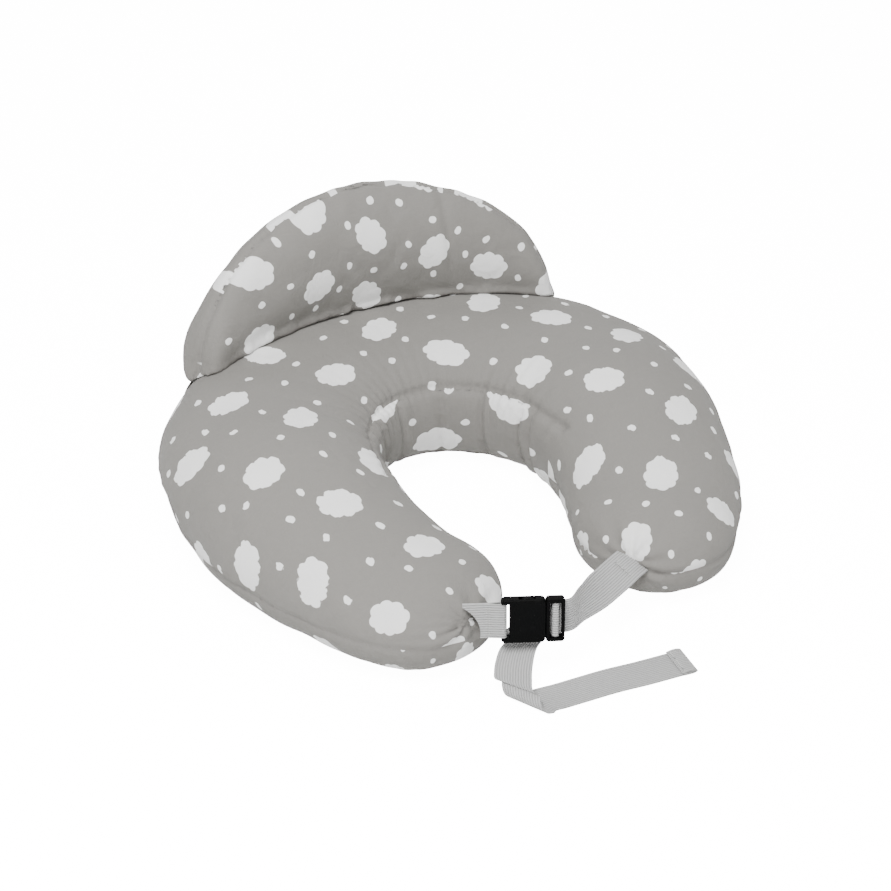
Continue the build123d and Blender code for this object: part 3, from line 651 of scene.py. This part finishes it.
def zip_coil(name, centre, radius, z):
    """Nylon coil: rounded teeth leaning from each side to the middle."""
    material, tree, shader = new_finish(name, (0.15, 0.145, 0.135), 0.45, Specular_IOR_Level=0.4)
    angle, high = round_the_arc(tree, centre)
    along = maths(tree, "MULTIPLY", angle, radius / 0.0014)
    side = maths(tree, "SUBTRACT", high, z)
    lean = maths(tree, "MULTIPLY", maths(tree, "ABSOLUTE", side), 260.0)
    half = maths(tree, "MULTIPLY", maths(tree, "GREATER_THAN", side, 0.0), 0.5)
    tooth = waves(tree, maths(tree, "ADD", maths(tree, "ADD", along, lean), half), pi)
    slit = smooth_step(tree, maths(tree, "ABSOLUTE", side), 0.0001, 0.0005)
    height = maths(tree, "MULTIPLY", tooth, slit)
    # painted shade: darker between the teeth and in the slit down the middle, lighter on the tooth tops
    color = tone(tree, (0.050, 0.048, 0.045), (0.175, 0.168, 0.156), height)
    tree.links.new(color, shader.inputs["Base Color"])
    bump = add_node(tree, "ShaderNodeBump", {"Height": height, "Strength": 0.8, "Distance": 0.0006})
    tree.links.new(bump.outputs[0], shader.inputs["Normal"])
    return material


def zip_tape(name, centre, radius):
    """Woven tape: close herringbone rows along the zip."""
    material, tree, shader = new_finish(name, (0.17, 0.165, 0.153), 0.85, Specular_IOR_Level=0.25)
    angle, high = round_the_arc(tree, centre)
    along = maths(tree, "MULTIPLY", angle, radius)
    row = maths(tree, "PINGPONG", high, 0.0016)
    bone = waves(tree, maths(tree, "ADD", along, row), pi / 0.0008)
    cloth = add_node(tree, "ShaderNodeCombineXYZ", {0: along, 1: high}).outputs[0]
    fluff = blotches(tree, cloth, 900.0, 2.0)
    # colour tone: painted shade in the dips of the herringbone rows, with random fluff
    shade = maths(tree, "ADD", maths(tree, "MULTIPLY", bone, 0.6), maths(tree, "MULTIPLY", fluff, 0.4))
    color = tone(tree, (0.120, 0.115, 0.106), (0.215, 0.207, 0.193), shade)
    tree.links.new(color, shader.inputs["Base Color"])
    bump = add_node(tree, "ShaderNodeBump", {"Height": shade, "Strength": 0.5, "Distance": 0.0003})
    tree.links.new(bump.outputs[0], shader.inputs["Normal"])
    return material


def painted_zip_metal():
    """Zinc slider with a satin grey lacquer, rubbed where fingers pull it."""
    material, tree, shader = new_finish("zip_metal", (0.17, 0.165, 0.155), 0.35, Metallic=0.6)
    place = add_node(tree, "ShaderNodeTexCoord").outputs["Object"]
    rub = blotches(tree, place, 700.0, 4.0)
    worn = smooth_step(tree, rub, 0.55, 0.75)
    color = tone(tree, (0.150, 0.145, 0.136), (0.300, 0.295, 0.285), worn)
    tree.links.new(color, shader.inputs["Base Color"])
    tree.links.new(maths(tree, "ADD", 0.28, maths(tree, "MULTIPLY", rub, 0.2)), shader.inputs["Roughness"])
    bump = add_node(tree, "ShaderNodeBump", {"Height": rub, "Strength": 0.2, "Distance": 0.0002})
    tree.links.new(bump.outputs[0], shader.inputs["Normal"])
    return material


def satin_label():
    """Blank white satin tape with fine cross ribs."""
    material, tree, shader = new_finish("label", (0.75, 0.75, 0.74), 0.45, Specular_IOR_Level=0.45)
    place = add_node(tree, "ShaderNodeTexCoord").outputs["Object"]
    parts = add_node(tree, "ShaderNodeSeparateXYZ", {0: place}).outputs
    rib = waves(tree, parts[2], pi / 0.0006)
    fluff = blotches(tree, place, 500.0, 2.0)
    # colour tone: painted shade between the cross ribs, with random fluff
    shade = maths(tree, "ADD", maths(tree, "MULTIPLY", rib, 0.5), maths(tree, "MULTIPLY", fluff, 0.5))
    tree.links.new(tone(tree, (0.62, 0.62, 0.61), (0.80, 0.80, 0.79), shade), shader.inputs["Base Color"])
    bump = add_node(tree, "ShaderNodeBump", {"Height": rib, "Strength": 0.4, "Distance": 0.0002})
    tree.links.new(bump.outputs[0], shader.inputs["Normal"])
    return material


def plain_cotton():
    """The cover's grey cotton, unprinted, for the strip that joins the guard on."""
    material, tree, shader = new_finish("plain_cotton", (0.20, 0.19, 0.18), 0.86, Specular_IOR_Level=0.25)
    angle, high = round_the_arc(tree, ARC)
    along = maths(tree, "MULTIPLY", angle, 0.27)
    cloth = add_node(tree, "ShaderNodeCombineXYZ", {0: along, 1: high}).outputs[0]
    weave = add_node(tree, "ShaderNodeGroup", {0: cloth, 1: THREADS_PER_METRE}, node_tree=PLAIN_WEAVE)
    # the grey follows the weave's tone: random slubs with painted shade where the threads dip
    tree.links.new(tone(tree, (0.160, 0.153, 0.142), (0.226, 0.217, 0.202), weave.outputs["Shade"]),
                   shader.inputs["Base Color"])
    bump = add_node(tree, "ShaderNodeBump", {
        "Height": weave.outputs["Height"], "Strength": 0.35, "Distance": 0.0004})
    tree.links.new(bump.outputs[0], shader.inputs["Normal"])
    return material


def dress(material, *nodes):
    """Give carried-over CAD nodes their finish."""
    for name in nodes:
        for slot in frame["nodes"][name].material_slots:
            slot.material = material


dress(moulded_plastic(), "buckle_socket", "buckle_tongue", "buckle_prong_upper", "buckle_prong_lower")
dress(webbing("webbing_at_buckle", (BUCKLE_RUN, BUCKLE_UP)), "fixed_webbing")
dress(spun_thread(), "fixed_webbing_stitching", "adjustable_webbing_stitching", "webbing_hem_stitching")
dress(zip_coil("pillow_zip_coil", ARC, ARC_R + REAR_W, SEAM_Z), "pillow_zip_coil")
dress(zip_tape("pillow_zip_tape", ARC, ARC_R + REAR_W), "pillow_zip_tapes")
dress(zip_coil("guard_zip_coil", GUARD_C, GUARD_ZIP_R, GUARD_ZIP_Z), "guard_zip_coil")
dress(zip_tape("guard_zip_tape", GUARD_C, GUARD_ZIP_R), "guard_zip_tapes")
dress(painted_zip_metal(), "pillow_zip_stops", "guard_zip_stops", "pillow_zip_slider", "pillow_zip_pull",
      "guard_zip_slider", "guard_zip_pull")
dress(satin_label(), "care_label")
dress(plain_cotton(), "guard_join_strip")


# ------------------------------------------------------------------ straps
def strip_mesh(name, middles, edges, finish, across=10, step=0.002):
    """A flat woven strip: its middle line, and the vector from one edge to the other at each point."""
    middles, edges = np.array(middles, float), np.array(edges, float)
    gaps = np.r_[0, np.cumsum(np.linalg.norm(np.diff(middles, axis=0), axis=1))]

    def between(values, places):
        """Catmull-Rom through the values."""
        ends = np.vstack([2 * values[0] - values[1], values, 2 * values[-1] - values[-2]])
        spots = np.r_[2 * gaps[0] - gaps[1], gaps, 2 * gaps[-1] - gaps[-2]]
        k = np.clip(np.searchsorted(gaps, places, side="right"), 1, len(gaps) - 1)
        p0, p1, p2, p3 = ends[k - 1], ends[k], ends[k + 1], ends[k + 2]
        t0, t1, t2, t3 = spots[k - 1], spots[k], spots[k + 1], spots[k + 2]
        span = (t2 - t1)[:, None]
        m1 = span * ((p2 - p1) / span - (p2 - p0) / (t2 - t0)[:, None] + (p1 - p0) / (t1 - t0)[:, None])
        m2 = span * ((p2 - p1) / span - (p3 - p1) / (t3 - t1)[:, None] + (p3 - p2) / (t3 - t2)[:, None])
        u = ((places - t1) / (t2 - t1))[:, None]
        return ((2 * u ** 3 - 3 * u ** 2 + 1) * p1 + (u ** 3 - 2 * u ** 2 + u) * m1
                + (-2 * u ** 3 + 3 * u ** 2) * p2 + (u ** 3 - u ** 2) * m2)

    places = []
    for start, end in zip(gaps[:-1], gaps[1:]):
        parts = max(3, int(np.ceil((end - start) / step)))
        places.extend(np.linspace(start, end, parts, endpoint=False))
    places = np.array([*places, gaps[-1]])
    mid, side = between(middles, places), between(edges, places)
    run = np.r_[0, np.cumsum(np.linalg.norm(np.diff(mid, axis=0), axis=1))]
    shares = np.linspace(-0.5, 0.5, across + 1)
    grid = mid[:, None, :] + side[:, None, :] * shares[None, :, None]
    n, m = len(places), across + 1
    faces = [(i * m + j, i * m + j + 1, (i + 1) * m + j + 1, (i + 1) * m + j)
             for i in range(n - 1) for j in range(m - 1)]
    mesh = bpy.data.meshes.new(name)
    mesh.from_pydata(grid.reshape(-1, 3).tolist(), [], faces)
    strip = bpy.data.objects.new(name, mesh)
    bpy.context.scene.collection.objects.link(strip)
    lay_cloth(strip, np.c_[np.repeat(run, m), np.tile(shares * WEB_W, n)])
    finish_modifier(strip, "SOLIDIFY", thickness=WEB_T, offset=0)
    pick_only(strip)
    bpy.ops.object.shade_smooth_by_angle(angle=radians(40))
    strip.data.materials.append(finish)
    return strip, float(run[-1])


def lay_cloth(o, place, per_corner=False):
    """Write flat cloth coordinates, one for each point or each face corner, as the piece's UV map."""
    for layer in list(o.data.uv_layers):
        o.data.uv_layers.remove(layer)
    layer = o.data.uv_layers.new(name="cloth")
    if not per_corner:
        index = np.empty(len(o.data.loops), int)
        o.data.loops.foreach_get("vertex_index", index)
        place = place[index]
    layer.data.foreach_set("uv", np.ascontiguousarray(place, np.float32).ravel())


def strap_anchor():
    """Where the adjustable strap is sewn into the right tip."""
    end_turn = ARC_HALF + ARM_L / ARM_R
    tip = Vector(((ARC_R - ARM_R) * sin(ARC_HALF) + ARM_R * sin(end_turn),
                  (ARC_R - ARM_R) * cos(ARC_HALF) + ARM_R * cos(end_turn), 0))
    return ARC + tip + Vector((-0.75 * TIP_W, -0.66 * TIP_W, 0.055))


def make_straps():
    web = webbing("webbing")
    up, run = BUCKLE_UP * WEB_W, BUCKLE_RUN
    # from inside the right tip, twisting, and under the ladder lock's end bar
    anchor = strap_anchor()
    sewn_edge = Vector((-25.0, 28.0, 14.0)).normalized()
    lock_in = on_buckle(29.4, 0, -4.6)
    toward = (lock_in - anchor).normalized()

    def square_to(edge):
        return (edge - toward * edge.dot(toward)).normalized() * WEB_W

    first_edge, last_edge = square_to(sewn_edge), square_to(BUCKLE_UP)
    middles = [anchor - toward * 0.012, anchor]
    edges = [first_edge, first_edge]
    for share in (0.25, 0.5, 0.75):
        sag = Vector((0, 0, -0.0022)) * sin(share * pi)
        middles.append(anchor.lerp(lock_in, share) + sag)
        edges.append(square_to(first_edge.lerp(last_edge, share * share * (3 - 2 * share))))
    middles.append(lock_in)
    edges.append(last_edge)
    for x, z in ((25.3, -4.3), (23.0, -3.1), (22.1, 0.6), (21.2, 2.3), (19.4, 2.7), (17.6, 2.3),
                 (16.8, 0.4), (16.0, -3.2), (13.2, -4.8)):
        middles.append(on_buckle(x, 0, z))
        edges.append(up)
    front, front_run = strip_mesh("strap_front", middles, edges, web)
    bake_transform(front)
    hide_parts("adjustable_webbing")

    # behind the buckle it folds down across a diagonal, hangs, folds on the floor and lies to its hem
    fold_x, half_w = -7.0, 1000 * WEB_W / 2
    slant = run * WEB_W + up
    middles = [on_buckle(13.2, 0, -4.8), on_buckle(11.2, 0, -6.1), on_buckle(fold_x, 0, -6.5),
               on_buckle(fold_x - 0.8, 0.8, -7.7), on_buckle(fold_x, 0, -8.9),
               on_buckle(fold_x, -half_w - 1, -9.0), on_buckle(fold_x, -half_w - 8, -8.6)]
    edges = [up, up, slant, slant, slant, run * WEB_W, run * WEB_W]
    crease = Vector((0.488, -0.873, 0)) * 0.040
    for x, y, z, share in ((-69.5, -261.0, 30.0, 0.05), (-77.0, -268.0, 23.0, 0.22),
                           (-84.0, -278.5, 17.5, 0.50), (-87.5, -287.5, 14.6, 0.80)):
        middles.append(from_arc(x, y, z))
        edges.append((run * WEB_W).lerp(crease, share))
    # a soft roll round the crease
    crease_way, across_crease = crease.normalized(), Vector((-0.873, -0.488, 0))
    roll_r, roll_shift, lift = 6.0, 6.3, 0.8
    for turn in range(0, 181, 30):
        share = turn / 90 - 1
        rolled = across_crease * roll_r * sin(radians(turn)) + crease_way * roll_shift * share
        high = lift + roll_r * (1 + cos(radians(turn)))
        middles.append(from_arc(-80.5 + rolled.x, -298 + rolled.y, high))
        edges.append(crease)
    lie = Vector((0.9962, -0.0873, 0))
    near = Vector((-0.0873, -0.9962, 0)) * WEB_W
    floor_line = ((-66, -302.6, 0.8), (-52, -303.8, 0.8), (-30, -304.9, 1.0), (0, -306.8, 1.5),
                  (30, -309.4, 0.9))
    for place in floor_line:
        middles.append(from_arc(*place))
        edges.append(near)
    edges[-len(floor_line)] = crease.lerp(near, 0.6)
    hem = from_arc(62, -311.5)
    for x, z in ((0.0, 0.6), (13.0, 0.6), (15.4, 1.8), (13.0, 3.0), (3.0, 3.0), (1.2, 2.4), (3.0, 1.85),
                 (12.0, 1.85)):
        middles.append(hem + lie * x * MM + Vector((0, 0, z * MM)))
        edges.append(near)
    tail, tail_run = strip_mesh("strap_tail", middles, edges, web)
    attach(tail, "tongue")
    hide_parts("webbing_hem")
    print("strap lengths", round(front_run, 4), round(tail_run, 4))


make_straps()


# ------------------------------------------------------------------ the U's cover
def noise_at(points, size, seed):
    shift = Vector((seed, seed * 0.7, 0))
    return np.array([noise(Vector(p) / size + shift) for p in points])


def bump_at(values, middle, width):
    return np.exp(-((values - middle) / width) ** 2)


def gathers(points, anchor, run, folds, reach, depth):
    """Folds that gather round the place where a strap is sewn in, as a push along the normals."""
    rel = points - np.array(anchor)
    along = rel @ np.array(run)
    flat = rel - along[:, None] * np.array(run)
    side = run.cross(Vector((0, 0, 1))).normalized()
    over = side.cross(run)
    angle = np.arctan2(flat @ np.array(over), flat @ np.array(side))
    far = np.linalg.norm(rel, axis=1)
    fade = np.exp(-(far / reach) ** 2) * (1 - np.exp(-(far / 0.010) ** 2))
    wave = np.cos(folds * angle + 1.3 * np.sin(angle * 2 + 0.7)) * (0.75 + 0.25 * np.cos(3 * angle + 1))
    return depth * wave * fade - 0.006 * np.exp(-(far / 0.013) ** 2)


def face_centres(o):
    centre = np.empty(len(o.data.polygons) * 3)
    o.data.polygons.foreach_get("center", centre)
    return centre.reshape(-1, 3)


def cut_panels(o, panel, *finishes):
    """Give each face the cotton of its panel."""
    for finish in finishes:
        o.data.materials.append(finish)
    o.data.polygons.foreach_set("material_index", panel.astype(np.int32))


def snap(o, value, level, reach, axis):
    """Bring the points nearest a seam exactly onto it."""
    points = coords(o)
    near = np.abs(value - level) < reach
    points[near] += axis[near] * (level - value[near])[:, None]
    set_coords(o, points)


def lay_u_panels(cover, flat, s):
    """Three panels of cloth: top, bottom and the inner band, each on its own part of the print."""
    centre = face_centres(cover)
    inside = on_waist_side(centre) & (centre[:, 2] > BAND_LOW)
    band, bottom = inside & (centre[:, 2] < BAND_HIGH), (centre[:, 2] < SEAM_Z) & ~inside
    panel = np.where(band, 2, np.where(bottom, 1, 0))
    cut_panels(cover, panel, TOP_COTTON, BOTTOM_COTTON, BAND_COTTON)
    index = np.empty(len(cover.data.loops), int)
    cover.data.loops.foreach_get("vertex_index", index)
    sides = np.empty(len(panel), int)
    cover.data.polygons.foreach_get("loop_total", sides)
    on_band = np.c_[s * BAND_EASE, coords(cover)[:, 2]]
    banded = np.repeat(panel, sides) == 2
    lay_cloth(cover, np.where(banded[:, None], on_band[index], flat[index]), per_corner=True)


# upright folds down the inner band: length along the centreline, half-width, depth
BAND_FOLDS = ((-0.195, 0.007, 0.0050), (-0.150, 0.0050, 0.0085), (-0.060, 0.009, 0.0030),
              (0.050, 0.008, 0.0028), (0.150, 0.007, 0.0034), (0.262, 0.0050, 0.0085), (0.296, 0.006, 0.0050))


def u_seams_and_folds(points, s, across, inner):
    """How far each point of the U's cloth moves out of its surface."""
    z = points[:, 2]
    level = points * np.array([1, 1, 0])
    from_band_seam, from_outer_seam = np.abs(z - BAND_HIGH), np.abs(z - SEAM_Z)
    push = np.zeros(len(points))
    # the seams pull in, with short gathers that fade away from them
    push -= 0.0018 * bump_at(z, SEAM_Z, 0.0030) * ~inner
    push -= 0.0036 * bump_at(z, BAND_HIGH, 0.0040) * inner
    gather = np.sin(s / 0.0031 + 2.2 * noise_at(level, 0.06, 3))
    push += 0.0012 * gather * inner * np.exp(-from_band_seam / 0.016)
    gather = np.sin(s / 0.0062 + 2.5 * noise_at(level, 0.07, 9))
    push += 0.0008 * gather * ~inner * np.exp(-from_outer_seam / 0.014)
    below_seam = np.clip((z - 0.004) / 0.02, 0, 1) * np.clip((0.115 - z) / 0.03, 0, 1) * inner
    for place, wide, deep in BAND_FOLDS:
        lean = place + 0.004 * np.sin(z / 0.02)
        push -= deep * bump_at(s, lean, wide) * below_seam
        push += deep * 0.45 * bump_at(s, lean + wide * 1.9, wide) * below_seam
    # creases over the crown beside the inner bends
    bend = bump_at(np.abs(s), 0.235, 0.065) * np.clip(-across / 0.05, 0, 1) * (z > BAND_HIGH - 0.01)
    crease = np.sin(s / 0.0058 + 4 * noise_at(level, 0.05, 21))
    push += 0.0016 * bend * crease * np.exp(-from_band_seam / 0.024)
    # folds round the two places where the strap is sewn in
    sewn_left, sewn_right = on_buckle(-42, 0, 0), strap_anchor()
    right_run = (sewn_right - on_buckle(29.4, 0, -4.6)).normalized()
    for sewn, run in ((sewn_left, BUCKLE_RUN), (sewn_right, right_run)):
        push += gathers(points, sewn, run, 9, 0.045, 0.0028)
    # slow unevenness of the stuffing
    push += 0.0022 * noise_at(points, 0.085, 5) + 0.0010 * noise_at(points, 0.035, 11)
    return push * np.clip(z / 0.006, 0, 1)


def make_u_cover():
    cover = closed_copy("pillow_filling", "pillow_cover")
    remesh(cover, 0.006)
    points = coords(cover)
    set_coords(cover, points + normals(cover) * (0.0032 * np.clip(points[:, 2] / 0.012, 0, 1))[:, None])
    points = coords(cover)
    inner = on_waist_side(points)
    near_outer = bump_at(points[:, 2], SEAM_Z, 0.004) * ~inner
    near_band = bump_at(points[:, 2], BAND_HIGH, 0.004) * inner
    near_floor = (points[:, 2] < 0.004).astype(float)
    held = np.clip(np.maximum.reduce([near_outer, near_band, near_floor]), 0, 1)
    held[held < 0.35] = 0
    # the rear rim keeps its height where the guard stands on it
    from_guard = np.hypot(points[:, 0] - GUARD_C.x, points[:, 1] - GUARD_C.y) - (GUARD_R - 0.015)
    under_guard = bump_at(from_guard, 0, 0.060) * (points[:, 2] > 0.07) * np.clip(points[:, 1] / 0.04, 0, 1)
    stuff(cover, held, 0.007 * (1 - near_floor), 0.012 - 0.0117 * under_guard)
    smooth(cover, 0.5, 3)
    finish_modifier(cover, "SUBSURF", levels=1, render_levels=1)
    points = coords(cover)
    inner = on_waist_side(points)
    upright = np.tile([0.0, 0.0, 1.0], (len(points), 1))
    snap(cover, points[:, 2], SEAM_Z, SNAP_REACH, upright * ~inner[:, None])
    snap(cover, points[:, 2], BAND_HIGH, SNAP_REACH, upright * inner[:, None])

    points, out = coords(cover), normals(cover)
    flat, s, across = flat_on_u(points)
    lay_u_panels(cover, flat, s)
    inner = (across < 0) & (np.abs(s) < BAND_END)
    push = u_seams_and_folds(points, s, across, inner)
    points = points + out * push[:, None]
    points[:, 2] = np.maximum(points[:, 2], 0.0)
    set_coords(cover, points)
    pick_only(cover)
    bpy.ops.object.shade_smooth()
    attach(cover, "pillow")
    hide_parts("pillow_top_panel", "pillow_bottom_panel", "pillow_inner_band",
                "pillow_insert_case", "pillow_filling")
    return cover


# ------------------------------------------------------------------ the guard's cover
def make_guard_cover():
    cover = closed_copy("guard_filling", "guard_cover")
    remesh(cover, 0.005)
    points, out = coords(cover), normals(cover)
    foot = np.clip(-out[:, 2] - 0.25, 0, 0.75) / 0.75
    set_coords(cover, points + out * (0.0026 + 0.0022 * foot)[:, None])

    def seam_gap():
        points = coords(cover)
        rel = points[:, :2] - np.array(GUARD_C)[:2]
        r = np.hypot(rel[:, 0], rel[:, 1])
        seam = CREST_SEAM_R + GUARD_LEAN * (GUARD_FOOT - points[:, 2])
        return points, rel, r, r - seam

    points, rel, r, gap = seam_gap()
    out = normals(cover)
    crest = bump_at(gap, 0, 0.004) * (out[:, 2] > -0.2)
    held = np.clip(np.maximum(crest, (out[:, 2] < -0.45).astype(float)), 0, 1)
    held[held < 0.35] = 0
    rise = np.clip((points[:, 2] - GUARD_FOOT) / 0.045, 0, 1)
    stuff(cover, held, 0.006 * (out[:, 2] > -0.45), 0.0003 + 0.0097 * rise)
    smooth(cover, 0.5, 2)
    finish_modifier(cover, "SUBSURF", levels=1, render_levels=1)
    points, rel, r, gap = seam_gap()
    outward = np.c_[rel / r[:, None], np.zeros(len(r))]
    crest_side = normals(cover)[:, 2] > -0.3
    snap(cover, gap, 0.0, 0.0014, outward * crest_side[:, None])
    centre = face_centres(cover)
    r = np.hypot(centre[:, 0] - GUARD_C.x, centre[:, 1] - GUARD_C.y)
    back = r > CREST_SEAM_R + GUARD_LEAN * (GUARD_FOOT - centre[:, 2])
    cut_panels(cover, back, GUARD_COTTON, GUARD_BACK_COTTON)
    points, rel, r, gap = seam_gap()
    turn = np.arctan2(rel[:, 0], rel[:, 1])
    lay_cloth(cover, np.c_[turn * GUARD_R, (points[:, 2] - GUARD_FOOT) * 1.12])
    out = normals(cover)
    along = turn * GUARD_R
    crest_side = out[:, 2] > -0.3
    push = -0.0032 * bump_at(gap, 0, 0.0036) * crest_side
    gather = np.sin(along / 0.0056 + 2.4 * noise_at(points, 0.06, 31))
    push += 0.0011 * gather * np.exp(-np.abs(gap) / 0.012) * crest_side
    # the foot is sewn down, so folds rise from it
    rise = points[:, 2] - GUARD_FOOT
    fold = np.sin(along / 0.0105 + 3 * noise_at(points, 0.09, 17))
    push += 0.0014 * fold * np.exp(-np.clip(rise, 0, 1) / 0.022)
    # one soft crease down the front, right of the middle
    soft_crease = bump_at(along, 0.098 - 0.10 * (rise - 0.09), 0.006) * bump_at(rise, 0.095, 0.05)
    push -= 0.0030 * soft_crease * (gap < 0)
    push += 0.0026 * noise_at(points, 0.080, 41) + 0.0010 * noise_at(points, 0.032, 43)
    set_coords(cover, points + out * push[:, None])
    pick_only(cover)
    bpy.ops.object.shade_smooth()
    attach(cover, "guard")
    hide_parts("guard_front_panel", "guard_back_panel", "guard_insert_case", "guard_filling")
    return cover


TOP_COTTON = printed_cotton("printed_cotton_top", (-53.3, 64.4), (-69.8, -65.7), (26.5, -32.0))
BOTTOM_COTTON = printed_cotton("printed_cotton_bottom", (64.4, 53.3), (-65.7, 69.8), (30, 50))
BAND_COTTON = printed_cotton("printed_cotton_band", (67, 54), (-52, 66), (14, 37))
GUARD_COTTON = printed_cotton("printed_cotton_guard", (-72.8, 32.0), (-78.8, -45.4), (-10, -21.5))
GUARD_BACK_COTTON = printed_cotton("printed_cotton_guard_back", (-72.8, 32.0), (-78.8, -45.4), (40, 30))
for cover in (make_u_cover(), make_guard_cover()):
    print(cover.name, "triangles", sum(len(p.vertices) - 2 for p in cover.data.polygons))
